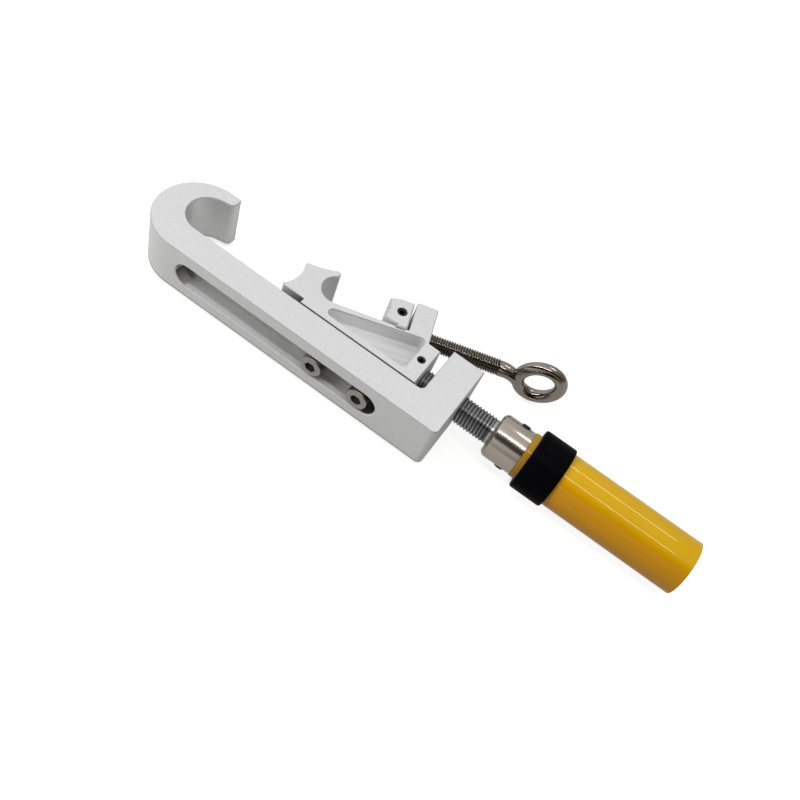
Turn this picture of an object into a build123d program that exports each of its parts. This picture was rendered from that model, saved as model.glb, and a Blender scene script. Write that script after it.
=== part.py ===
from build123d import *
import os
from math import acos, atan2, cos, degrees, hypot, radians, sin, sqrt, tan

# All sizes in mm. X runs along the stick from the cut pole end to the hook, Y runs from the
# mouth of the hook to the back of the bar, Z is up, square to the flat faces of the frame.

# clearances
SLIDE_GAP = 0.1         # between sliding flat faces
RUN_GAP = 0.05          # radial, between a turning rod and its bore
FREE_GAP = 0.35         # between a grub screw's point and its groove
SLOT_GAP = 0.5          # each side of a slide screw and its washer in the slot
HOLE_SPARE = 1.0        # blind hole beyond the screw's end

# pole, collar and ferrule, from the cut end on
POLE_R = 16.0
POLE_WALL = 5.0
POLE_BARE = 79.5        # pole in sight, up to the collar
COLLAR_L = 19.5
COLLAR_WALL = 2.5
COLLAR_SINK = 0.4       # the pole is turned down by this under the collar
COLLAR_EDGE = 1.2
SPIGOT_WALL = 2.7       # wall of the turned-down pole end
SPIGOT_LAP = 3.0        # spigot under the collar
SPIGOT_SHOW = 3.5       # spigot in sight
FERRULE_L = 19.5
FERRULE_R = 13.2
FERRULE_NOSE = 2.0
FERRULE_FLOOR = 2.0
SHANK_L = 40.5          # ferrule shank inside the pole
PIN_IN = 6.5            # cross pin, from the ferrule's shoulder
PIN_R = 2.5
PIN_PROUD = 0.6
PIN_ANGLE = -48.0       # roll of the cross pin about the stick

# main screw
MAIN_SHOW = 22.0        # screw in sight between ferrule and foot
MAIN_R = 8.0            # M16 thread, crest radius
MAIN_NECK_R = 7.4       # plain length beside the ferrule
MAIN_NECK_L = 3.5
MAIN_TIP_R = 6.0
MAIN_TIP_L = 8.0
MAIN_TAIL_R = 6.0

# hook frame, one milled plate in the shape of a J
THICK = 32.0            # plate thickness, shared by the frame, the jaw and the clamp block
FOOT_T = 20.0           # foot thickness
FOOT_REACH = 18.0       # foot end beyond the stick axis
BAR_IN = 15.5           # bar edge the jaw slides on, from the stick axis
BAR_W = 18.5            # bar width
BAR_L = 151.0           # from the foot to the middle of the throat
THROAT_R = 13.25
HOOK_WALL = 8.5         # hook above the throat
CROWN_SHIFT = 2.5       # the hook's outer arc is centred beyond the throat
TIP_BACK = 5.0          # hook tip behind the middle of the throat
TIP_LEAN = 0.2          # the tip's outer corner lies this far beyond its inner one
TIP_T = 7.1             # tip thickness
TIP_LOBE_R = 3.2
TIP_EDGE_R = 1.8
HEEL_R = 3.5            # rounded back corner of the foot
CREVICE_R = 3.0         # fillet between bar and foot
EDGE = 0.5              # edge break round the plates
SLOT_IN = 14.5          # two-level slot in the back of the bar, from the foot
SLOT_END = 3.5          # slot end before the middle of the throat
SLOT_LEDGE = 9.0        # depth of the wide level; the narrow level goes through

# slide screws, M8 socket heads, with flat washers
SLIDE_IN = 20.5         # first screw from the jaw's end
SLIDE_PITCH = 30.0
M8_R = 4.0
M8_HEAD_R = 6.5
M8_HEAD_H = 8.0
M8_LEN = 25.0
M8_HEX = 6.0
M8_HEX_DEPTH = 4.0
WASHER_RIM = 1.0        # washer beyond the screw head
WASHER_PLAY = 0.2       # washer bore round the screw
WASHER_T = 1.6

# sliding jaw
JAW_GAP = 5.5           # between foot and jaw
JAW_L = 74.8            # jaw resting on the bar
JAW_HEEL_R = 0.8        # clears the fillet between bar and foot
JAW_SHOULDER = 12.3     # jaw edge beside the post, from the stick axis
STEP_H = 3.3            # the head lifts off the bar by this
HEAD_L = 14.5           # head beyond the step
HORN_LOW = 10.6         # lower front corner of the head
HORN_HIGH = -10.2       # upper front corner
FRONT_SAG = 3.3         # depth of the front scallop
CREST_SAG = 1.5         # depth of the top scallop
BEAK_T = 5.85           # beak over the seat
BEAK_R = 2.0
HORN_R = 2.0
POCKET_IN = 9.25        # pocket from the jaw's end
POCKET_SILL = 4.1       # rim left along the bar
POCKET_RIM = 1.7        # rim left along the slanted way, abreast of the post
POCKET_TAPER = 2.85     # the rim widens towards the head by this angle
POCKET_R = 3.0
WEB = 13.0              # web between the two pockets

# second clamp: its own axes start on the eyebolt axis in the middle of the post,
# u along the eyebolt to the seat, v towards the bar
CLAMP_IN = 18.5         # eyebolt axis in the post, from the jaw's end
CLAMP_OFF = 23.85       # and from the stick axis
CLAMP_ANGLE = 19.0
WAY_V = 10.6            # slanted way the block slides along
POST_BACK = 6.5         # post behind its middle
POST_FRONT = 6.0
POST_V = -10.6
POST_R = 1.3
POST_ROOT_R = 1.2       # fillet between post and way
SEAT_BACK = 24.74       # middle of the seat behind the jaw's front
SEAT_R = 9.2
SEAT_END = -76.0        # angle where the seat arc ends at the beak
RELIEF_IN = 2.2         # undercut of the way, from the post
RELIEF_L = 5.2
RELIEF_D = 1.0
BLOCK_GAP = 1.1         # slit between post and block
BLOCK_L = 14.2
BLOCK_H = 18.2
BLOCK_HEEL_L = 6.1
BLOCK_HEEL_CUT = 1.2    # the heel's corner clears the fillet at the post
BLOCK_TAPER = 2.5       # each side closes in by this towards the clamping face
BLOCK_NOSE_R = 0.8      # corners beside the clamping face
BLOCK_BACK_R = 1.2
BLOCK_HOLLOW = 1.5      # the clamping face is hollow by this
BLOCK_EDGE = 0.7

# eyebolt
EYE_R = 5.0             # M10 thread, crest radius
EYE_SHOW = 43.5         # thread in sight behind the post
EYE_TIP_R = 3.5
EYE_TIP_L = 10.0
EYE_REACH = 25.0        # ring centre beyond the thread
RING_R = 12.3
RING_TUBE_R = 3.8
RING_SIDES = 16         # flats round the ring's section
BEND_R = 15.0           # bend from the shank into the ring
BEND_SLIM = 0.1         # the bent rod ends thinner than the ring by this
BEND_STEPS = 6
NECK_R = 4.6            # the bent rod where the thread ends

# grub screws and the grooves they run in
JAW_GRUB_IN = 5.2       # from the jaw's end
JAW_GRUB_R = 2.5
JAW_GRUB_POINT_R = 1.25
BLOCK_GRUB_IN = 5.5     # from the block's face at the post
BLOCK_GRUB_R = 3.0
BLOCK_GRUB_POINT_R = 1.5
GRUB_SINK = 0.5         # top of a grub screw below the plate face
GRUB_HEX_SHARE = 0.5    # key width over screw diameter
GRUB_HEX_DEPTH = 3.0
GROOVE_DEPTH = 1.0

POLE_BORE_R = POLE_R - POLE_WALL
COLLAR_X1 = POLE_BARE + COLLAR_L
COLLAR_SEAT_R = POLE_R - COLLAR_SINK
SPIGOT_X0 = COLLAR_X1 - SPIGOT_LAP
SPIGOT_R = POLE_BORE_R + SPIGOT_WALL
FERRULE_X0 = COLLAR_X1 + SPIGOT_SHOW
FERRULE_X1 = FERRULE_X0 + FERRULE_L
SHANK_X0 = FERRULE_X0 - SHANK_L
MAIN_TAIL_X0 = FERRULE_X0 + FERRULE_FLOOR
FOOT_X0 = FERRULE_X1 + MAIN_SHOW
FOOT_X1 = FOOT_X0 + FOOT_T
HALF = THICK / 2
BAR_BACK = BAR_IN + BAR_W
LEDGE_Y = BAR_BACK - SLOT_LEDGE
THROAT_X = FOOT_X1 + BAR_L
SLOT_X0 = FOOT_X1 + SLOT_IN
SLOT_X1 = THROAT_X - SLOT_END
WASHER_R = M8_HEAD_R + WASHER_RIM
SLOT_H = 2 * (WASHER_R + SLOT_GAP)
NARROW_H = 2 * (M8_R + SLOT_GAP)
WASHER_Y0 = LEDGE_Y + SLIDE_GAP
HEAD_Y0 = WASHER_Y0 + WASHER_T
JAW_X0 = FOOT_X1 + JAW_GAP
JAW_Y1 = BAR_IN - SLIDE_GAP
JAW_GRUB_X = JAW_X0 + JAW_GRUB_IN
SLIDE_X = (JAW_X0 + SLIDE_IN, JAW_X0 + SLIDE_IN + SLIDE_PITCH)
CLAMP_AT = (JAW_X0 + CLAMP_IN, -CLAMP_OFF)
CLAMP = Location((*CLAMP_AT, 0), (0, 0, CLAMP_ANGLE))
STEP_X = JAW_X0 + JAW_L
HORN_X = STEP_X + HEAD_L
SEAT_V = WAY_V - SEAT_R
SEAT_RUN = HORN_X - SEAT_BACK - CLAMP_AT[0]
SEAT_U = (SEAT_RUN + SEAT_V * sin(radians(CLAMP_ANGLE))) / cos(radians(CLAMP_ANGLE))
BLOCK_U0 = POST_FRONT + BLOCK_GAP
BLOCK_GRUB_U = BLOCK_U0 + BLOCK_GRUB_IN
EYE_ROOT_U = -POST_BACK - EYE_SHOW
EYE_AT = EYE_ROOT_U - EYE_REACH


def polar(center, radius, angle):
    a = radians(angle)
    return (center[0] + radius * cos(a), center[1] + radius * sin(a))


def clamp_xy(u, v):
    a = radians(CLAMP_ANGLE)
    return (CLAMP_AT[0] + u * cos(a) - v * sin(a), CLAMP_AT[1] + u * sin(a) + v * cos(a))


def corner(sketch, point):
    return sketch.vertices().sort_by_distance((*point, 0))[0]


def plate(face):
    return extrude(face, amount=HALF, both=True)


def rims(solid):
    top = solid.faces().sort_by(Axis.Z)[-1]
    low = solid.faces().sort_by(Axis.Z)[0]
    return top.outer_wire().edges() + low.outer_wire().edges()


def rod(x0, x1, radius):
    return Pos((x0 + x1) / 2, 0, 0) * Rot(0, 90, 0) * Cylinder(radius, x1 - x0)


def back_plane(x, y):
    return Plane(origin=(x, y, 0), x_dir=(1, 0, 0), z_dir=(0, -1, 0))


def ring_groove(x, length, radius, depth):
    outer = rod(x - length / 2, x + length / 2, radius + depth)
    return outer - rod(x - length, x + length, radius - depth)


def grub_screw(radius, point_r, root_z, tip_z):
    top = HALF - GRUB_SINK
    body = Pos(0, 0, (root_z + top) / 2) * Cylinder(radius, top - root_z)
    point = Pos(0, 0, (tip_z + root_z) / 2) * Cylinder(point_r, root_z - tip_z)
    key = RegularPolygon(radius * GRUB_HEX_SHARE, 6, major_radius=False)
    socket = extrude(Plane.XY.offset(top - GRUB_HEX_DEPTH) * key, amount=GRUB_HEX_DEPTH)
    return body + point - socket


def hook_frame():
    throat = (THROAT_X, BAR_IN - THROAT_R)
    crown_r = (BAR_W + 2 * THROAT_R + HOOK_WALL) / 2
    crown = (THROAT_X + CROWN_SHIFT, BAR_BACK - crown_r)
    crown_end = (crown[0], crown[1] - crown_r)
    tip_in = (THROAT_X - TIP_BACK, crown_end[1] + TIP_T)
    tip_out = (tip_in[0] + TIP_LEAN, crown_end[1])
    # the lip runs from the tip as a tangent to the throat
    run = (tip_in[0] - throat[0], tip_in[1] - throat[1])
    lip_angle = degrees(atan2(run[1], run[0]) + acos(THROAT_R / hypot(*run)))
    lip = polar(throat, THROAT_R, lip_angle)
    back_end = (crown[0], BAR_BACK)
    bar_end = (THROAT_X, BAR_IN)
    heel = (FOOT_X0, BAR_BACK)
    crevice = (FOOT_X1, BAR_IN)
    foot_out = (FOOT_X0, -FOOT_REACH)
    foot_in = (FOOT_X1, -FOOT_REACH)
    lines = [
        Line(foot_out, heel),
        Line(heel, back_end),
        ThreePointArc(back_end, polar(crown, crown_r, 0), crown_end),
        Line(crown_end, tip_out),
        Line(tip_out, tip_in),
        Line(tip_in, lip),
        ThreePointArc(lip, polar(throat, THROAT_R, (90 + lip_angle) / 2), bar_end),
        Line(bar_end, crevice),
        Line(crevice, foot_in),
        Line(foot_in, foot_out),
    ]
    face = Sketch() + make_face(lines)
    for point, radius in (
        (heel, HEEL_R),
        (crevice, CREVICE_R),
        (tip_in, TIP_LOBE_R),
        (tip_out, TIP_EDGE_R),
    ):
        face = fillet(corner(face, point), radius)
    solid = plate(face)
    solid = chamfer(rims(solid), EDGE)
    slot_mid = (SLOT_X0 + SLOT_X1) / 2
    slot_len = SLOT_X1 - SLOT_X0
    inset = (SLOT_H - NARROW_H) / 2
    wide = back_plane(slot_mid, BAR_BACK) * SlotOverall(slot_len, SLOT_H)
    narrow = back_plane(slot_mid, BAR_BACK) * SlotOverall(slot_len - 2 * inset, NARROW_H)
    solid -= extrude(wide, amount=SLOT_LEDGE)
    solid = chamfer(solid.faces().sort_by(Axis.Y)[-1].inner_wires().edges(), EDGE)
    solid -= extrude(narrow, amount=BAR_W)
    solid -= rod(FOOT_X0, FOOT_X1, MAIN_R + RUN_GAP)
    return solid


def sliding_jaw():
    step_y = JAW_Y1 - STEP_H
    horn_low = (HORN_X, HORN_LOW)
    horn_high = (HORN_X, HORN_HIGH)
    seat = (SEAT_U, SEAT_V)
    beak_in = clamp_xy(*polar(seat, SEAT_R, SEAT_END))
    beak = (beak_in[0], beak_in[1] - BEAK_T)
    seat_mid = clamp_xy(*polar(seat, SEAT_R, (90 + SEAT_END) / 2))
    way_end = clamp_xy(SEAT_U, WAY_V)
    relief_u0 = POST_FRONT + RELIEF_IN
    relief_u1 = relief_u0 + RELIEF_L
    relief_v = WAY_V + RELIEF_D
    post_root = clamp_xy(POST_FRONT, WAY_V)
    post_left = clamp_xy(POST_FRONT, POST_V)
    post_right = clamp_xy(-POST_BACK, POST_V)
    run = (-JAW_SHOULDER - post_right[1]) * tan(radians(CLAMP_ANGLE))
    armpit = (post_right[0] - run, -JAW_SHOULDER)
    chin = (HORN_X - (step_y - HORN_LOW), step_y)
    jaw_heel = (JAW_X0, JAW_Y1)
    points = [
        way_end,
        clamp_xy(relief_u1, WAY_V),
        clamp_xy(relief_u1, relief_v),
        clamp_xy(relief_u0, relief_v),
        clamp_xy(relief_u0, WAY_V),
        post_root,
        post_left,
        post_right,
        armpit,
        (JAW_X0, -JAW_SHOULDER),
        jaw_heel,
        (STEP_X, JAW_Y1),
        (STEP_X, step_y),
        chin,
        horn_low,
    ]
    lines = [Line(a, b) for a, b in zip(points, points[1:])]
    lines += [
        SagittaArc(horn_low, horn_high, -FRONT_SAG),
        SagittaArc(horn_high, beak, -CREST_SAG),
        Line(beak, beak_in),
        ThreePointArc(beak_in, seat_mid, way_end),
    ]
    face = Sketch() + make_face(lines)
    for point, radius in (
        (jaw_heel, JAW_HEEL_R),
        (horn_high, HORN_R),
        (beak, BEAK_R),
        (post_root, POST_ROOT_R),
        (post_left, POST_R),
        (post_right, POST_R),
    ):
        face = fillet(corner(face, point), radius)
    solid = chamfer(rims(plate(face)), EDGE)

    pocket_v = WAY_V + POCKET_RIM
    start = clamp_xy(0, pocket_v)
    slope = tan(radians(CLAMP_ANGLE + POCKET_TAPER))
    pocket_x = JAW_X0 + POCKET_IN
    pocket_y = JAW_Y1 - POCKET_SILL
    top_y = start[1] + (pocket_x - start[0]) * slope
    apex_x = start[0] + (pocket_y - start[1]) / slope
    rims_at = [(pocket_x, pocket_y), (pocket_x, top_y), (apex_x, pocket_y)]
    pocket = Sketch() + make_face(Polyline(*rims_at, close=True))
    pocket = fillet(pocket.vertices(), POCKET_R)
    depth = HALF - WEB / 2
    solid -= extrude(Plane.XY.offset(WEB / 2) * pocket, amount=depth)
    solid -= extrude(Plane.XY.offset(-HALF) * pocket, amount=depth)

    solid -= rod(JAW_X0, JAW_X0 + MAIN_TIP_L + SLIDE_GAP, MAIN_TIP_R + RUN_GAP)
    solid -= Pos(JAW_GRUB_X, 0, HALF / 2) * Cylinder(JAW_GRUB_R, HALF)
    screw_end = HEAD_Y0 - M8_LEN - HOLE_SPARE
    for x in SLIDE_X:
        tapped = back_plane(x, JAW_Y1) * Circle(M8_R)
        solid -= extrude(tapped, amount=JAW_Y1 - screw_end)
    solid -= CLAMP * rod(-POST_BACK, POST_FRONT, EYE_R + RUN_GAP)
    return solid


def slide_screws():
    screws = []
    for x in SLIDE_X:
        body = extrude(back_plane(x, HEAD_Y0) * Circle(M8_R), amount=M8_LEN)
        head = extrude(back_plane(x, HEAD_Y0 + M8_HEAD_H) * Circle(M8_HEAD_R), amount=M8_HEAD_H)
        rim = head.edges().filter_by(GeomType.CIRCLE).sort_by(Axis.Y)[-1]
        head = chamfer(rim, EDGE)
        key = back_plane(x, HEAD_Y0 + M8_HEAD_H) * RegularPolygon(M8_HEX / 2, 6, major_radius=False)
        screws.append(body + head - extrude(key, amount=M8_HEX_DEPTH))
    return Compound(screws)


def slide_washers():
    washers = []
    for x in SLIDE_X:
        ring = Circle(WASHER_R) - Circle(M8_R + WASHER_PLAY)
        washers.append(extrude(back_plane(x, HEAD_Y0) * ring, amount=WASHER_T))
    return Compound(washers)


def jaw_grub_screw():
    tip_z = MAIN_TIP_R - GROOVE_DEPTH + FREE_GAP
    root_z = MAIN_TIP_R + FREE_GAP
    return Pos(JAW_GRUB_X, 0, 0) * grub_screw(JAW_GRUB_R, JAW_GRUB_POINT_R, root_z, tip_z)


def main_screw():
    neck_x = FERRULE_X1 + MAIN_NECK_L
    solid = rod(MAIN_TAIL_X0, FERRULE_X1, MAIN_TAIL_R)
    solid += rod(FERRULE_X1, neck_x, MAIN_NECK_R)
    solid += rod(neck_x, JAW_X0 - SLIDE_GAP, MAIN_R)
    solid += rod(JAW_X0 - SLIDE_GAP, JAW_X0 + MAIN_TIP_L, MAIN_TIP_R)
    groove = 2 * (JAW_GRUB_POINT_R + FREE_GAP)
    solid -= ring_groove(JAW_GRUB_X, groove, MAIN_TIP_R, GROOVE_DEPTH)
    solid -= cross_pin()
    return solid


def ferrule():
    body = rod(FERRULE_X0, FERRULE_X1, FERRULE_R)
    nose = body.edges().filter_by(GeomType.CIRCLE).sort_by(Axis.X)[-1]
    body = chamfer(nose, FERRULE_NOSE)
    body += rod(SHANK_X0, FERRULE_X0, POLE_BORE_R)
    body -= rod(MAIN_TAIL_X0, FERRULE_X1, MAIN_TAIL_R)
    return body - cross_pin()


def cross_pin():
    length = 2 * (FERRULE_R + PIN_PROUD)
    return Pos(FERRULE_X0 + PIN_IN, 0, 0) * Rot(PIN_ANGLE - 90, 0, 0) * Cylinder(PIN_R, length)


def pole_tube():
    solid = rod(0, POLE_BARE, POLE_R)
    solid += rod(POLE_BARE, SPIGOT_X0, COLLAR_SEAT_R)
    solid += rod(SPIGOT_X0, FERRULE_X0, SPIGOT_R)
    return solid - rod(0, FERRULE_X0, POLE_BORE_R)


def foam_core():
    return rod(0, SHANK_X0, POLE_BORE_R)


def pole_collar():
    solid = rod(POLE_BARE, COLLAR_X1, COLLAR_SEAT_R + COLLAR_WALL)
    solid = chamfer(solid.edges().filter_by(GeomType.CIRCLE), COLLAR_EDGE)
    solid -= rod(POLE_BARE, SPIGOT_X0, COLLAR_SEAT_R)
    return solid - rod(SPIGOT_X0, COLLAR_X1, SPIGOT_R)


def clamp_block():
    u1 = BLOCK_U0 + BLOCK_L
    half_h = BLOCK_H / 2
    heel_u = BLOCK_U0 + BLOCK_HEEL_L
    heel_v = WAY_V - SLIDE_GAP
    back = (BLOCK_U0, -half_h)
    nose_v = half_h - BLOCK_TAPER
    nose = ((u1, -nose_v), (u1, nose_v))
    flank = ((heel_u, -half_h), (heel_u, half_h))
    side = Polyline(
        flank[1],
        (heel_u, heel_v),
        (BLOCK_U0 + BLOCK_HEEL_CUT, heel_v),
        (BLOCK_U0, heel_v - BLOCK_HEEL_CUT),
        back,
        flank[0],
    )
    bows = [TangentArc(a, b, tangent=(1, 0)) for a, b in zip(flank, nose)]
    face = Sketch() + make_face([*side.edges(), *bows, SagittaArc(*nose, BLOCK_HOLLOW)])
    for point, radius in ((nose[0], BLOCK_NOSE_R), (nose[1], BLOCK_NOSE_R), (back, BLOCK_BACK_R)):
        face = fillet(corner(face, point), radius)
    solid = plate(face)
    solid = chamfer(rims(solid), BLOCK_EDGE)
    solid -= rod(BLOCK_U0, BLOCK_U0 + EYE_TIP_L + SLIDE_GAP, EYE_TIP_R + RUN_GAP)
    solid -= Pos(BLOCK_GRUB_U, 0, HALF / 2) * Cylinder(BLOCK_GRUB_R, HALF)
    return CLAMP * solid


def block_grub_screw():
    tip_z = EYE_TIP_R - GROOVE_DEPTH + FREE_GAP
    root_z = EYE_TIP_R + FREE_GAP
    screw = grub_screw(BLOCK_GRUB_R, BLOCK_GRUB_POINT_R, root_z, tip_z)
    return CLAMP * (Pos(BLOCK_GRUB_U, 0, 0) * screw)


def eyebolt():
    thread_end = BLOCK_U0 - SLIDE_GAP
    solid = rod(EYE_ROOT_U, thread_end, EYE_R)
    solid += rod(thread_end, thread_end + EYE_TIP_L, EYE_TIP_R)
    groove = 2 * (BLOCK_GRUB_POINT_R + FREE_GAP)
    solid -= ring_groove(BLOCK_GRUB_U, groove, EYE_TIP_R, GROOVE_DEPTH)
    # the bent rod runs into the ring as a tangent
    reach = BEND_R + RING_R
    bend_u = EYE_AT + sqrt(reach**2 - BEND_R**2)
    bend_angle = degrees(acos(BEND_R / reach))
    shoulder = Polyline(
        (bend_u, 0), (bend_u, NECK_R), (EYE_ROOT_U, EYE_R), (EYE_ROOT_U, 0), close=True
    )
    solid += revolve(make_face(shoulder), Axis.X)
    taper = NECK_R - (RING_TUBE_R - BEND_SLIM)
    sections = []
    for step in range(BEND_STEPS + 1):
        share = step / BEND_STEPS
        here = Pos(bend_u, 0, -BEND_R) * Rot(0, -bend_angle * share, 0) * Pos(0, 0, BEND_R)
        sections.append(here * (Plane.YZ * RegularPolygon(NECK_R - taper * share, RING_SIDES)))
    solid += loft(sections, ruled=True)
    section = Pos(EYE_AT + RING_R, 0) * RegularPolygon(RING_TUBE_R, RING_SIDES)
    solid += revolve(section, Axis((EYE_AT, 0, 0), (0, 1, 0)))
    return CLAMP * solid


PIECES = {
    "hook_frame": hook_frame,
    "sliding_jaw": sliding_jaw,
    "slide_screws": slide_screws,
    "slide_washers": slide_washers,
    "jaw_grub_screw": jaw_grub_screw,
    "main_screw": main_screw,
    "ferrule": ferrule,
    "cross_pin": cross_pin,
    "pole_tube": pole_tube,
    "foam_core": foam_core,
    "pole_collar": pole_collar,
    "clamp_block": clamp_block,
    "block_grub_screw": block_grub_screw,
    "eyebolt": eyebolt,
}

os.makedirs("parts", exist_ok=True)
for name, build in PIECES.items():
    export_step(build(), f"parts/{name}.step")
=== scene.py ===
from math import acos, cos, hypot, radians, sin, sqrt, tau

import bmesh
import bpy
from mathutils import Euler, Matrix, Vector


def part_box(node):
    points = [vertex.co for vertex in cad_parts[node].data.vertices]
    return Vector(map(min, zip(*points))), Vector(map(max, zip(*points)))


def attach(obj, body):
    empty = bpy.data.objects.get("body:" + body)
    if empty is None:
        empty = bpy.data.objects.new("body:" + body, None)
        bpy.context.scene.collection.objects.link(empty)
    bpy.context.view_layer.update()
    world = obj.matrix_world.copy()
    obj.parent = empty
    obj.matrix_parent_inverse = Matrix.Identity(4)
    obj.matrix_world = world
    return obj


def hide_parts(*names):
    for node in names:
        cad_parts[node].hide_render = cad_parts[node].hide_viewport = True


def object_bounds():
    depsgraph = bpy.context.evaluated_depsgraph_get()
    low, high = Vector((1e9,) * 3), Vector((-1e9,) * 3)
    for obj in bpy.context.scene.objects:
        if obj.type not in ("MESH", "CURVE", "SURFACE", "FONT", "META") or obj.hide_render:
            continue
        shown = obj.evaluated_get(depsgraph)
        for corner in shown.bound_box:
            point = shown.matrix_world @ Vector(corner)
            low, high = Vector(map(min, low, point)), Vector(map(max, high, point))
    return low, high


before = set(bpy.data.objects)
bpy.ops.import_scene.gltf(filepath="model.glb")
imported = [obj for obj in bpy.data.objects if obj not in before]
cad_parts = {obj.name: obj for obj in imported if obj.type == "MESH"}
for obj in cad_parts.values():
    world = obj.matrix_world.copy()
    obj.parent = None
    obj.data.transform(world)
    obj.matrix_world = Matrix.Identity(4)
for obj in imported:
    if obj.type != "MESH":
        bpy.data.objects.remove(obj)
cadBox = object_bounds()
scene = bpy.context.scene
scene.view_settings.view_transform = "Standard"
mm = 0.001  # pieces are drawn in mm, finishes and the stage are in metres
print("frame loaded:", len(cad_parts), "nodes")


class Wire:  # a shader socket that takes part in sums
    def __init__(self, tree, socket):
        self.tree, self.socket = tree, socket

    def sum(self, kind, one, two):
        node = self.tree.nodes.new("ShaderNodeMath")
        node.operation = kind
        for slot, value in zip(node.inputs, (one, two)):
            if isinstance(value, Wire):
                self.tree.links.new(value.socket, slot)
            else:
                slot.default_value = value
        return Wire(self.tree, node.outputs[0])

    def __add__(self, other): return self.sum("ADD", self, other)
    def __radd__(self, other): return self.sum("ADD", other, self)
    def __sub__(self, other): return self.sum("SUBTRACT", self, other)
    def __rsub__(self, other): return self.sum("SUBTRACT", other, self)
    def __mul__(self, other): return self.sum("MULTIPLY", self, other)
    def __rmul__(self, other): return self.sum("MULTIPLY", other, self)
    def __truediv__(self, other): return self.sum("DIVIDE", self, other)
    def __pow__(self, other): return self.sum("POWER", self, other)
    def __lt__(self, other): return self.sum("LESS_THAN", self, other)
    def __gt__(self, other): return self.sum("GREATER_THAN", self, other)
    def __abs__(self): return self.sum("ABSOLUTE", self, 0.0)
    def most(self, other): return self.sum("MAXIMUM", self, other)


class Finish:  # one node tree, of a material or of the world
    def __init__(self, owner):
        owner.use_nodes = True
        self.owner, self.tree = owner, owner.node_tree
        self.tree.nodes.clear()

    def node(self, kind, settings=None, out=0, **sockets):
        made = self.tree.nodes.new("ShaderNode" + kind)
        for key, value in (settings or {}).items():
            if key == "stops":
                ramp = made.color_ramp.elements
                while len(ramp) < len(value):
                    ramp.new(0.5)
                for stop, (place, shade) in zip(ramp, value):
                    stop.position, stop.color = place, shade
            else:
                setattr(made, key, value)
        for key, value in sockets.items():
            index = key[1:]  # i6 means input 6, any other key is a socket's name
            slot = made.inputs[int(index) if index.isdigit() else key.replace("_", " ")]
            if isinstance(value, Wire):
                self.tree.links.new(value.socket, slot)
            else:
                slot.default_value = value
        return Wire(self.tree, made.outputs[out])

    def place(self, scale=(1, 1, 1), turn=(0, 0, 0)):
        here = self.node("TexCoord", out="Object")
        return self.node("Mapping", Vector=here, Scale=scale, Rotation=turn)

    def axes(self, where=None):
        split = self.node("SeparateXYZ", Vector=where or self.place())
        return [Wire(self.tree, socket) for socket in split.socket.node.outputs]

    def grain(self, size, detail=3, where=None):
        return self.node("TexNoise", Vector=where or self.place(), Scale=1 / size, Detail=detail, Roughness=0.6)

    def rise(self, value, start, end, **settings):  # 0 at the start, 1 at the end
        return self.node("MapRange", settings, Value=value, From_Min=start, From_Max=end)

    def blend(self, factor, one, two, mode="MIX"):
        return self.node("Mix", dict(data_type="RGBA", blend_type=mode), out=2, i0=factor, i6=one, i7=two)

    def ramp(self, value, stops):
        return self.node("ValToRGB", dict(stops=stops), Fac=value)

    def bump(self, height, strength, depth):
        return self.node("Bump", Height=height, Strength=strength, Distance=depth)

    def close(self, shader, target="OutputMaterial"):
        end = self.tree.nodes.new("ShaderNode" + target)
        self.tree.links.new(shader.socket, end.inputs["Surface"])
        return self.owner

    def skin(self, **sockets):
        return self.close(self.node("BsdfPrincipled", **sockets))


def newFinish(name):
    return Finish(bpy.data.materials.new(name))


def grey(level, warm=0.0):
    return (level * (1 + warm), level, level * (1 - warm), 1)


blast = dict(fine=0.0005, coarse=0.0014, cloud=0.03, rim=(0.01546, 0.01597), foot=-0.0146, rough=0.42,
             metal=0.45, dark=grey(0.52), light=grey(0.84, -0.004), stain=grey(0.64, 0.012), paintedShade=grey(0.14))
slotArea = dict(half=0.0079, floor=0.0156, rim=0.0334, ends=(0.1786, 0.3114), fade=(0.014, 0.008), mark=0.0009,
                stretch=(0.03, 1, 1), dark=grey(0.50, 0.01), light=grey(0.92, 0.01), shadow=grey(0.04))
throatArea = dict(at=(0.315, 0.00225), reach=0.0200, half=0.0154, bright=grey(0.80))
pocketArea = dict(depth=0.0146, turn=radians(21.85), lift=(0.185, 0.232), mark=0.0009, stretch=(0.02, 1, 1),
                  dark=(grey(0.40), grey(0.92)), light=(grey(0.74), grey(1.0)),  # near the foot, near the head
                  sides=[(-1, 0, -0.17875), (0, 1, 0.0113), (0.3722, -0.9282, 0.07985)])
seamArea = dict(edge=0.01486, top=0.0150, step=0.0116, ends=(0.2443, 0.2588), shadow=grey(0.03))


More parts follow.
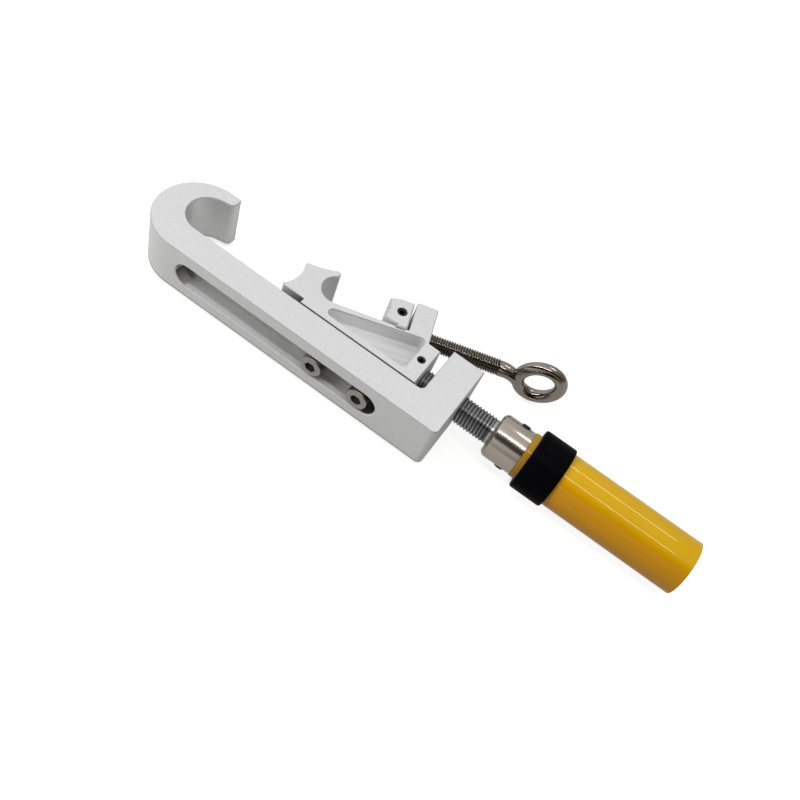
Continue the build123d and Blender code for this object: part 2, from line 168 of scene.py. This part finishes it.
def blastedAluminium(name, slot=None, throat=None, pocket=None, seam=None):
    f = newFinish(name)
    x, y, z = f.axes()
    cloud = f.grain(blast["cloud"], 2)
    speck = f.grain(blast["fine"], 2) * 0.45 + f.grain(blast["coarse"]) * 0.55
    shade = f.blend(speck, blast["dark"], blast["light"])
    shade = f.blend(cloud * 0.25, shade, blast["stain"])
    # painted shade: the chamfers along the top and bottom edges and a thin line along the bottom are darkened
    rimLow, rimHigh = blast["rim"]
    rim = (abs(z) > rimLow) * (abs(z) < rimHigh)
    foot = z < blast["foot"]
    shade = f.blend((rim * 0.3).most(foot * 0.75), shade, blast["paintedShade"])
    rough = blast["rough"] + speck * 0.14 + cloud * 0.04
    metal = blast["metal"] + foot * 0.1
    if slot:  # cutter marks run along the slot, and light fades in its round ends
        (low, high), (nearFade, farFade) = slot["ends"], slot["fade"]
        inside = (abs(z) < slot["half"]) * (y > slot["floor"]) * (y < slot["rim"]) * (x > low) * (x < high)
        brush = f.grain(slot["mark"], where=f.place(slot["stretch"]))
        shade = f.blend(inside, shade, f.blend(brush, slot["dark"], slot["light"]))
        ends = f.rise(x, low + nearFade, low).most(f.rise(x, high - farFade, high))
        shade = f.blend(inside * ends * 0.75, shade, slot["shadow"])
        rough = rough - inside * (0.22 - brush * 0.1)
        metal = metal + inside * 0.45
    if throat:  # smoother cut where the hook is bored
        midX, midY = throat["at"]
        wall = (((x - midX) ** 2.0 + (y - midY) ** 2.0) < throat["reach"] ** 2) * (abs(z) < throat["half"])
        # painted light: the throat's colour is lifted towards a lighter grey
        shade = f.blend(wall * 0.35, shade, throat["bright"])
        rough = rough - wall * 0.16
        metal = metal + wall * 0.40
    if pocket:  # milled faces with marks along the slanted way
        inside = abs(z) < pocket["depth"]
        for nx, ny, reach in pocket["sides"]:
            inside = inside * ((x * nx + y * ny) < reach)
        along = f.node("Mapping", Vector=f.place(turn=(0, 0, -pocket["turn"])), Scale=pocket["stretch"])
        # painted light: the pocket's colours are lighter than the plain blast and lighten further towards its
        # narrow end at the head
        lift = f.rise(x, *pocket["lift"])
        dark, light = f.blend(lift, *pocket["dark"]), f.blend(lift, *pocket["light"])
        shade = f.blend(inside, shade, f.blend(f.grain(pocket["mark"], where=along), dark, light))
        metal = metal - inside * 0.25
    if seam:  # shade between jaw and bar
        low, high = seam["ends"]
        edge = (y > seam["edge"]) * (z > seam["top"])
        deep = (y > seam["step"]) * (x > low) * ((high - x) / (high - low))
        shade = f.blend((edge * 0.9).most(deep * 0.85), shade, seam["shadow"])
    return f.skin(Base_Color=shade, Metallic=metal, Roughness=rough, Normal=f.bump(speck, 0.22, 0.0002))


turning = dict(ring=0.00022, stretch=(1, 0.04, 0.04), paintedGrooveShade=grey(0.015))  # fine rings round the lathe's axis


def turnedSteel(name, low, high, rough, mottle=0.004, groove=0.0, lines=0.06):
    f = newFinish(name)
    cloud = f.grain(mottle, 4)
    scratch = f.grain(turning["ring"], 2, where=f.place(turning["stretch"]))
    shade = f.blend(cloud * 0.5 + scratch * 0.5, (*low, 1), (*high, 1))
    if groove:  # painted shade in the thread's roots
        deep = f.node("Attribute", dict(attribute_name="groove"), out="Fac")
        shade = f.blend(deep * groove, shade, turning["paintedGrooveShade"])
    return f.skin(Base_Color=shade, Metallic=1.0, Roughness=rough + cloud * 0.10 + scratch * lines,
                  Normal=f.bump(scratch, lines, 0.00005))


def blackOxide(name):
    f = newFinish(name)
    cloud = f.grain(0.0012)
    shade = f.blend(cloud, (0.006, 0.006, 0.007, 1), (0.026, 0.026, 0.028, 1))
    return f.skin(Base_Color=shade, Metallic=0.5, Roughness=0.36 + cloud * 0.14,
                  Normal=f.bump(cloud, 0.15, 0.00008))


gelCoat = dict(deep=(0.60, 0.262, 0.0002, 1), lit=(0.70, 0.42, 0.0008, 1), streak=(0.52, 0.255, 0.0002, 1),
               paintedShade=(0.16, 0.10, 0.012, 1), fibre=((0.45, 0.25, 0.02, 1), (0.74, 0.50, 0.10, 1)),
               top=(0.970, -0.242), rise=(0.0075, 0.0135), cutEnd=0.00005, turnedEnd=0.0975)


def yellowPole(name):
    f = newFinish(name)
    x, y, z = f.axes()
    # painted light: the pole's upper side is coloured lighter than its lower side
    topZ, topY = gelCoat["top"]
    strand = f.grain(0.0011, where=f.place((0.05, 1, 1)))
    upper = f.rise(z * topZ + y * topY, *gelCoat["rise"], interpolation_type="SMOOTHSTEP")
    gel = f.blend(upper, gelCoat["deep"], gelCoat["lit"])
    gel = f.blend(f.grain(0.02) * 0.3 + strand * 0.2, gel, gelCoat["streak"])
    # painted shade on the turned end of the pole beside the collar
    gel = f.blend((x > gelCoat["turnedEnd"]) * 0.6, gel, gelCoat["paintedShade"])  # under the collar
    cut = x < gelCoat["cutEnd"]
    fibre = f.blend(f.grain(0.0004), *gelCoat["fibre"])
    return f.skin(Base_Color=f.blend(cut, gel, fibre), Roughness=0.30 + strand * 0.06 + cut * 0.4,
                  Specular_IOR_Level=0.03, Coat_Weight=0.42, Coat_Roughness=0.02,
                  Normal=f.bump(f.grain(0.006, 2), 0.04, 0.0002))


def paleFoam(name):
    f = newFinish(name)
    cell = f.node("TexVoronoi", Vector=f.place(), Scale=1 / 0.0009)
    shade = f.ramp(cell, [(0.0, (0.86, 0.82, 0.70, 1)), (0.6, (0.80, 0.75, 0.62, 1)),
                          (1.0, (0.58, 0.53, 0.42, 1))])
    return f.skin(Base_Color=shade, Roughness=0.9, Normal=f.bump(cell, 0.5, 0.0004))


def blackRubber(name):
    f = newFinish(name)
    pores = f.grain(0.0008)
    cloud = f.grain(0.012, 2)
    shade = f.blend(pores * 0.5 + cloud * 0.5, (0.0008, 0.0007, 0.0011, 1), (0.0030, 0.0026, 0.0034, 1))
    return f.skin(Base_Color=shade, Roughness=0.36 + pores * 0.10, Specular_IOR_Level=0.015,
                  Normal=f.bump(pores, 0.12, 0.0001))


finishes = dict(
    blasted_aluminium=blastedAluminium("blastedAluminium"),
    stainless_steel=turnedSteel("stainlessSteel", (0.27, 0.25, 0.225), (0.44, 0.41, 0.38), 0.22),
    zinc_steel=turnedSteel("zincSteel", (0.30, 0.295, 0.305), (0.54, 0.535, 0.55), 0.20, groove=0.78),
    nickel_plate=turnedSteel("nickelPlate", (0.40, 0.355, 0.295), (0.50, 0.45, 0.385), 0.15,
                             mottle=0.012, lines=0.004),
    bright_steel=turnedSteel("brightSteel", (0.20, 0.172, 0.14), (0.40, 0.36, 0.315), 0.08,
                             groove=0.5, lines=0.01),
    black_oxide=blackOxide("blackOxide"),
    yellow_glass_fibre=yellowPole("yellowPole"),
    white_foam=paleFoam("paleFoam"),
    black_rubber=blackRubber("blackRubber"),
)
milledParts = dict(
    hook_frame=blastedAluminium("frameAluminium", slot=slotArea, throat=throatArea),
    sliding_jaw=blastedAluminium("jawAluminium", pocket=pocketArea, seam=seamArea),
    clamp_block=finishes["blasted_aluminium"],
)
for node, finish in milledParts.items():  # these keep their CAD meshes
    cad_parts[node].data.materials.clear()
    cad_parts[node].data.materials.append(finish)
print("finishes made:", len({*finishes.values(), *milledParts.values()}))

inMetres = Matrix.Scale(mm, 4)
unmoved = Matrix.Identity(4)
alongY = Matrix.Rotation(tau / 4, 4, "Z")  # turns a lathed x axis to y
alongZ = Matrix.Rotation(-tau / 4, 4, "Y")  # turns a lathed x axis to z
weld = dict(lathe=0.0005, thread=0.004)  # points closer than this merge
sharpEdge = radians(32)


def put(bm, place):
    bmesh.ops.transform(bm, matrix=place, verts=bm.verts)


def smooth(mesh):
    for face in mesh.polygons:
        face.use_smooth = True
    mesh.set_sharp_from_angle(angle=sharpEdge)


def merge(bm):  # close the seams and turn the faces outwards
    bmesh.ops.remove_doubles(bm, verts=bm.verts, dist=weld["lathe"])
    bmesh.ops.recalc_face_normals(bm, faces=bm.faces)


def keepPiece(name, bm, body, node, slot, place=unmoved):
    put(bm, inMetres @ place)
    mesh = bpy.data.meshes.new(name)
    bm.to_mesh(mesh)
    bm.free()
    mesh.materials.append(finishes[slot])
    smooth(mesh)
    piece = bpy.data.objects.new(name, mesh)
    scene.collection.objects.link(piece)
    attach(piece, body)
    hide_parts(node)
    print("piece", name, len(mesh.polygons), "faces")
    return piece


def lathe(profile, steps, rounds=()):  # profile of (x, r), rounds of (index, radius)
    bm = bmesh.new()
    line = [bm.verts.new((x, 0, r)) for x, r in profile]
    for pair in zip(line, line[1:]):
        bm.edges.new(pair)
    for index, size in rounds:
        bmesh.ops.bevel(bm, geom=[line[index]], offset=size, segments=4, profile=0.5, affect="VERTICES",
                        material=-1)
    bmesh.ops.spin(bm, geom=bm.verts[:] + bm.edges[:], cent=(0, 0, 0), axis=(1, 0, 0), angle=tau,
                   steps=steps, use_merge=True)
    merge(bm)
    return bm


threadForm = dict(valley=0.1, shoulder=0.42, top=0.46, soft=0.03, lead=0.15, leadSlope=0.9)


def threadBar(s):  # right-hand thread, open at both ends
    bm = bmesh.new()
    pitch, crest, root, steps = s["pitch"], s["crest"], s["root"], s["steps"]
    low, high = s["reach"]
    half = [(0, root), (threadForm["valley"], root), (threadForm["shoulder"], crest - threadForm["soft"]),
            (threadForm["top"], crest)]
    ridge = half + [(1 - share, r) for share, r in reversed(half)]
    line = [bm.verts.new((low - pitch + share * pitch, 0, r)) for share, r in ridge]
    edges = [bm.edges.new(pair) for pair in zip(line, line[1:])]
    bmesh.ops.spin(bm, geom=line + edges, cent=(0, 0, 0), axis=(1, 0, 0), dvec=(pitch / steps, 0, 0),
                   angle=tau, steps=steps)
    oneTurn = bm.verts[:] + bm.edges[:] + bm.faces[:]
    for turn in range(1, int((high - low) / pitch) + 3):  # enough turns to pass both ends
        copy = bmesh.ops.duplicate(bm, geom=oneTurn)["geom"]
        points = [v for v in copy if isinstance(v, bmesh.types.BMVert)]
        bmesh.ops.translate(bm, verts=points, vec=(turn * pitch, 0, 0))
    bmesh.ops.remove_doubles(bm, verts=bm.verts, dist=weld["thread"])
    for x, side in ((low, -1), (high, 1)):
        bmesh.ops.bisect_plane(bm, geom=bm.verts[:] + bm.edges[:] + bm.faces[:], plane_co=(x, 0, 0),
                               plane_no=(side, 0, 0), clear_outer=True)
    for vert in bm.verts:  # lead-in chamfer at the ends
        r = hypot(vert.co.y, vert.co.z)
        room = min(vert.co.x - low, high - vert.co.x)
        top = root + threadForm["lead"] + room * threadForm["leadSlope"]
        if r > top:
            vert.co.yz = vert.co.yz * (top / r)
    return bm


def carryOn(bm, x, stations):  # draw the open rim at x out through (x, r) stations and close it
    near = 0.002
    rim = [e for e in bm.edges if e.is_boundary and all(abs(v.co.x - x) < near for v in e.verts)]
    for along, r in stations:
        out = bmesh.ops.extrude_edge_only(bm, edges=rim)["geom"]
        fresh = {v for v in out if isinstance(v, bmesh.types.BMVert)}
        rim = [e for e in out if isinstance(e, bmesh.types.BMEdge) and all(v in fresh for v in e.verts)]
        for vert in fresh:
            vert.co.yz = vert.co.yz * (r / hypot(vert.co.y, vert.co.z))
            vert.co.x = along
    bmesh.ops.contextual_create(bm, geom=rim)


def threadedRod(s):  # a thread with plain ends
    bm = threadBar(s)
    for x, stations in zip(s["reach"], (s["tail"], s["tip"])):
        carryOn(bm, x, stations)
    bmesh.ops.recalc_face_normals(bm, faces=bm.faces)
    return bm


def shadeGrooves(piece, s, place=unmoved):  # how deep each point lies in the thread, 0 to 1
    deep = piece.data.attributes.new("groove", "FLOAT", "POINT")
    back = (inMetres @ place).inverted()
    low, high = s["reach"]
    for vert, item in zip(piece.data.vertices, deep.data):
        spot = back @ vert.co
        if low < spot.x < high:
            sunk = (s["crest"] - hypot(spot.y, spot.z)) / (s["crest"] - s["root"])
            item.value = min(1.0, max(0.0, sunk))


def cutWith(piece, cutter, kind="DIFFERENCE"):  # cutter is a bmesh in mm, and the cut is applied
    put(cutter, inMetres)
    tool = bpy.data.objects.new("tool", bpy.data.meshes.new("tool"))
    cutter.to_mesh(tool.data)
    cutter.free()
    scene.collection.objects.link(tool)
    change = piece.modifiers.new("cut", "BOOLEAN")
    change.operation, change.object, change.solver = kind, tool, "EXACT"
    bpy.context.view_layer.update()
    graph = bpy.context.evaluated_depsgraph_get()
    done = bpy.data.meshes.new_from_object(piece.evaluated_get(graph))
    piece.modifiers.clear()
    piece.data = done
    smooth(done)
    bpy.data.objects.remove(tool)


def cutKey(piece, s, top, place):  # six-sided key hole, down from the top of a lathed screw
    bm = bmesh.new()
    low, high = top - s["deep"], top + s["clear"]
    corner = s["flats"] / 2 / cos(tau / 12)
    upright = Matrix.Translation(((low + high) / 2, 0, 0)) @ Matrix.Rotation(tau / 4, 4, "Y")
    bmesh.ops.create_cone(bm, cap_ends=True, segments=6, radius1=corner, radius2=corner, depth=high - low,
                          matrix=upright)
    put(bm, place)
    cutWith(piece, bm)


mainScrew = dict(pitch=2.0, crest=8.0, root=7.15, reach=(123.6, 169.4), steps=56,
                 tail=[(123.3, 7.3), (123.1, 7.4), (122.0, 7.4), (122.0, 6.0), (104.8, 6.0), (104.5, 5.7)],
                 tip=[(169.4, 6.0), (173.1, 6.0), (173.1, 5.0), (176.3, 5.0), (176.3, 6.0), (177.1, 6.0),
                      (177.5, 5.6)])


def buildMainScrew(s):
    piece = keepPiece("mainScrew", threadedRod(s), "drive", "main_screw", "zinc_steel")
    shadeGrooves(piece, s)


buildMainScrew(mainScrew)

eyeBolt = dict(origin=(188.0, -23.85, 0.0), turn=radians(19),
               pitch=1.5, crest=5.0, root=4.1, reach=(-50.0, 7.0), steps=40,
               tail=[(-50.4, 4.05), (-51.0, 3.6)],
               tip=[(7.0, 3.5), (11.4, 3.5), (11.4, 2.9), (13.8, 2.9), (13.8, 3.5), (16.6, 3.5), (17.0, 3.1)],
               shoulder=[(-50.4, 4.6), (-49.6, 4.2)],
               ringAt=-75.0, ringR=12.3, tube=3.8, bendR=15.0, swell=1.21, slim=0.974,
               tubeSteps=48, ringSteps=128, bendSteps=32)


def sweepTube(s, place, **turn):  # one circle swept round an axis
    bm = bmesh.new()
    bmesh.ops.create_circle(bm, segments=s["tubeSteps"], radius=s["tube"], matrix=place)
    bmesh.ops.spin(bm, geom=bm.verts[:] + bm.edges[:], **turn)
    return bm


def buildEyeBolt(s):
    place = Matrix.Translation(s["origin"]) @ Matrix.Rotation(s["turn"], 4, "Z")
    bendR, ringAt = s["bendR"], s["ringAt"]
    reach = bendR + s["ringR"]
    sweep = acos(bendR / reach)
    bendAt = ringAt + sqrt(reach ** 2 - bendR ** 2)
    ring = sweepTube(s, Matrix.Translation((ringAt + s["ringR"], 0, 0)), cent=(ringAt, 0, 0),
                     axis=(0, 1, 0), angle=tau, steps=s["ringSteps"], use_merge=True)
    bend = sweepTube(s, Matrix.Translation((bendAt, 0, 0)) @ Matrix.Rotation(tau / 4, 4, "Y"),
                     cent=(bendAt, 0, -bendR), axis=(0, -1, 0), angle=sweep, steps=s["bendSteps"])
    for vert in bend.verts:  # the rod swells towards the thread
        arm = Vector((vert.co.x - bendAt, 0, vert.co.z + bendR)).normalized() * bendR
        spine = arm + Vector((bendAt, 0, -bendR))
        share = 1 + arm.x / (bendR * sin(sweep))
        vert.co = spine + (vert.co - spine) * (s["slim"] + (s["swell"] - s["slim"]) * share)
    carryOn(bend, bendAt, s["shoulder"])
    bmesh.ops.holes_fill(bend, edges=bend.edges)
    piece = keepPiece("eyeBolt", threadedRod(s), "eyebolt", "eyebolt", "bright_steel", place)
    for bm in (bend, ring):
        merge(bm)
        put(bm, place)
        cutWith(piece, bm, "UNION")
    shadeGrooves(piece, s, place)


buildEyeBolt(eyeBolt)

ferrule = dict(body=13.2, nose=11.2, shank=11.0, bore=6.02, ends=(62.0, 102.5, 122.0), floor=104.4, slope=2.0,
               steps=160, rounds=[(3, 0.6), (4, 0.9), (5, 0.35)])


def buildFerrule(s):
    tail, seat, front = s["ends"]
    bm = lathe([(s["floor"], 0), (s["floor"], s["bore"]), (front, s["bore"]), (front, s["nose"]),
                (front - s["slope"], s["body"]), (seat, s["body"]), (seat, s["shank"]), (tail, s["shank"]),
                (tail, 0)], s["steps"], s["rounds"])
    keepPiece("ferruleCap", bm, "drive", "ferrule", "nickel_plate")


buildFerrule(ferrule)

crossPin = dict(radius=2.5, half=13.8, at=109.0, roll=radians(-48), steps=48, rounds=[(1, 0.15), (2, 0.15)])


def buildCrossPin(s):
    half, radius = s["half"], s["radius"]
    bm = lathe([(-half, 0), (-half, radius), (half, radius), (half, 0)], s["steps"], s["rounds"])
    spot = Matrix.Translation((s["at"], 0, 0)) @ Matrix.Rotation(s["roll"], 4, "X") @ alongY
    keepPiece("crossPin", bm, "drive", "cross_pin", "black_oxide", spot)


buildCrossPin(crossPin)

pole = dict(radius=16.0, seat=15.6, spigot=13.7, bore=11.0, stops=(0.0, 79.5, 96.0, 102.5), foamEnd=62.0,
            steps=192, foamSteps=96, rounds=[(1, 0.25), (6, 0.4)])


def buildPole(s):
    cut, shoulder, step, end = s["stops"]
    radius, seat, spigot, bore = s["radius"], s["seat"], s["spigot"], s["bore"]
    bm = lathe([(cut, bore), (cut, radius), (shoulder, radius), (shoulder, seat), (step, seat), (step, spigot),
                (end, spigot), (end, bore), (cut, bore)], s["steps"], s["rounds"])
    keepPiece("poleTube", bm, "drive", "pole_tube", "yellow_glass_fibre")
    core = lathe([(cut, 0), (cut, bore), (s["foamEnd"], bore), (s["foamEnd"], 0)], s["foamSteps"])
    keepPiece("foamCore", core, "drive", "foam_core", "white_foam")


buildPole(pole)

collar = dict(outer=18.1, inner=15.6, lip=13.72, ends=(79.5, 96.0, 99.0), steps=160,
              rounds=[(1, 1.3), (2, 1.3)])


def buildCollar(s):
    back, step, front = s["ends"]
    inner, outer, lip = s["inner"], s["outer"], s["lip"]
    bm = lathe([(back, inner), (back, outer), (front, outer), (front, lip), (step, lip), (step, inner),
                (back, inner)], s["steps"], s["rounds"])
    keepPiece("poleCollar", bm, "drive", "pole_collar", "black_rubber")


buildCollar(collar)

slideAt = (190.0, 220.0)
slidePlaces = [Matrix.Translation((x, 0, 0)) @ alongY for x in slideAt]


def lathePair(profile, s):  # the same turned shape at both slide places
    bm = bmesh.new()
    for place in slidePlaces:
        one = lathe(profile, s["steps"], s["rounds"])
        put(one, place)
        copy = bpy.data.meshes.new("copy")
        one.to_mesh(copy)
        one.free()
        bm.from_mesh(copy)
        bpy.data.meshes.remove(copy)
    return bm


slideScrew = dict(head=6.5, top=34.7, under=26.7, shank=4.0, end=1.7, flats=6.0, deep=4.0, clear=1.0,
                  steps=72, rounds=[(1, 0.6), (3, 0.3), (4, 0.9)])


def buildSlideScrews(s):
    end, under, top, shank, head = s["end"], s["under"], s["top"], s["shank"], s["head"]
    bm = lathePair([(end, 0), (end, shank), (under, shank), (under, head), (top, head), (top, 0)], s)
    piece = keepPiece("slideScrews", bm, "jaw", "slide_screws", "stainless_steel")
    for place in slidePlaces:
        cutKey(piece, s, top, place)


buildSlideScrews(slideScrew)

washer = dict(outer=7.5, inner=4.2, faces=(25.1, 26.7), steps=72, rounds=[(1, 0.2), (2, 0.35)])


def buildWashers(s):
    (low, high), inner, outer = s["faces"], s["inner"], s["outer"]
    bm = lathePair([(low, inner), (low, outer), (high, outer), (high, inner), (low, inner)], s)
    keepPiece("slideWashers", bm, "jaw", "slide_washers", "stainless_steel")


buildWashers(washer)

# point and taper are shares of the screw's radius
grubScrew = dict(point=0.55, taper=0.45, deep=3.0, clear=1.0, steps=48, rounds=[(3, 0.4)])


def buildGrubScrew(name, body, node, s):
    low, high = (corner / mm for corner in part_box(node))
    r = (high.x - low.x) / 2
    bm = lathe([(low.z, 0), (low.z, r * s["point"]), (low.z + r * s["taper"], r), (high.z, r), (high.z, 0)],
               s["steps"], s["rounds"])
    spot = Matrix.Translation(((low.x + high.x) / 2, (low.y + high.y) / 2, 0)) @ alongZ
    piece = keepPiece(name, bm, body, node, "black_oxide", spot)
    cutKey(piece, s, high.z, spot)


buildGrubScrew("jaw.grub.screw", "jaw", "jaw_grub_screw", dict(grubScrew, flats=2.5))
buildGrubScrew("block.grub.screw", "block", "block_grub_screw", dict(grubScrew, flats=3.0))

camera = dict(at=(0.117172, 0.299614, 0.393292), turn=(33.13159, -15.26333, -147.03325), lens=41.136,
              sensor=36.0, nearest=0.01)
viewer = bpy.data.objects.new("camera", bpy.data.cameras.new("camera"))
viewer.location = camera["at"]
viewer.rotation_euler = Euler([radians(a) for a in camera["turn"]])
viewer.data.lens, viewer.data.sensor_width = camera["lens"], camera["sensor"]
viewer.data.clip_start = camera["nearest"]
scene.collection.objects.link(viewer)
scene.camera = viewer

table = dict(mid=0.17, half=6.0, gap=0.0002, glow=0.84, mirror=0.33, body=grey(0.34, 0.02), near=0.0025,
             corner=0.15)


def buildTable(s):
    bm = bmesh.new()
    bmesh.ops.create_grid(bm, x_segments=1, y_segments=1, size=s["half"])
    bmesh.ops.translate(bm, verts=bm.verts, vec=(s["mid"], 0, cadBox[0][2] - s["gap"]))
    mesh = bpy.data.meshes.new("table")
    bm.to_mesh(mesh)
    bm.free()
    floor = bpy.data.objects.new("table", mesh)
    scene.collection.objects.link(floor)
    f = newFinish("paleTable")
    ray = {kind: f.node("LightPath", out=f"Is {kind} Ray") for kind in ("Camera", "Glossy", "Transmission")}
    # painted shadow: the floor's glow dims where the part hems it in
    openSky = f.node("AmbientOcclusion", dict(samples=8), out="AO", Distance=s["near"])
    seen = ray["Camera"] * s["glow"] * (s["corner"] + openSky * (1 - s["corner"]))  # darker under the part
    seen = seen.most(ray["Glossy"].most(ray["Transmission"]) * s["mirror"])
    lit = f.node("Emission", Color=f.blend(seen, grey(0), grey(1)), Strength=1.0)
    base = f.node("BsdfDiffuse", Color=s["body"])
    mesh.materials.append(f.close(f.node("AddShader", i0=lit, i1=base)))


buildTable(table)

lamps = dict(
    stripOne=dict(at=(0.30, 0.22, 0.87), aim=(0.30, 0, 0), size=(1.3, 0.05), power=2.6, mirrored=True),
    stripTwo=dict(at=(-0.12, -0.50, 0.74), aim=(-0.12, 0, 0), size=(0.36, 0.05), power=0.75, mirrored=True),
    key=dict(at=(0.90, 0.48, 0.54), aim=(0.24, 0, 0), size=(0.4, 0.4), power=5.2, mirrored=False),
)
for name, s in lamps.items():
    light = bpy.data.lights.new(name, "AREA")
    light.shape, light.size, light.size_y, light.energy = "RECTANGLE", *s["size"], s["power"]
    lamp = bpy.data.objects.new(name, light)
    lamp.location = s["at"]
    lamp.visible_glossy = s["mirrored"]
    lamp.rotation_euler = (Vector(s["aim"]) - Vector(s["at"])).to_track_quat("-Z", "Y").to_euler()
    scene.collection.objects.link(lamp)

tent = dict(  # light cloth all round with a dark gap overhead, dimmer towards the pole
    arch=[(0.0, 0.45), (0.10, 0.8), (0.18, 1.1), (0.215, 0.05), (0.375, 0.05), (0.415, 1.2), (0.52, 1.05),
          (1.0, 0.85)],
    side=[(0.0, 0.14), (0.5, 0.80), (1.0, 1.0)],
)


def buildTent(s):
    f = Finish(bpy.data.worlds.new("room"))
    x, y, z = f.axes(f.node("TexCoord", out="Generated"))
    height = z.sum("ARCTAN2", z, y) * 2 / tau  # 0 at the front horizon, 1 at the back one
    arch = f.ramp(height, [(place, grey(level)) for place, level in s["arch"]])
    side = f.ramp(x * 0.5 + 0.5, [(place, grey(level)) for place, level in s["side"]])
    glow = f.blend(1.0, arch, side, "MULTIPLY")
    glow = f.blend(f.node("LightPath", out="Is Camera Ray"), glow, grey(1.0))  # plain white behind the table
    scene.world = f.close(f.node("Background", Color=glow, Strength=1.0), "OutputWorld")


buildTent(tent)
print("stage set")
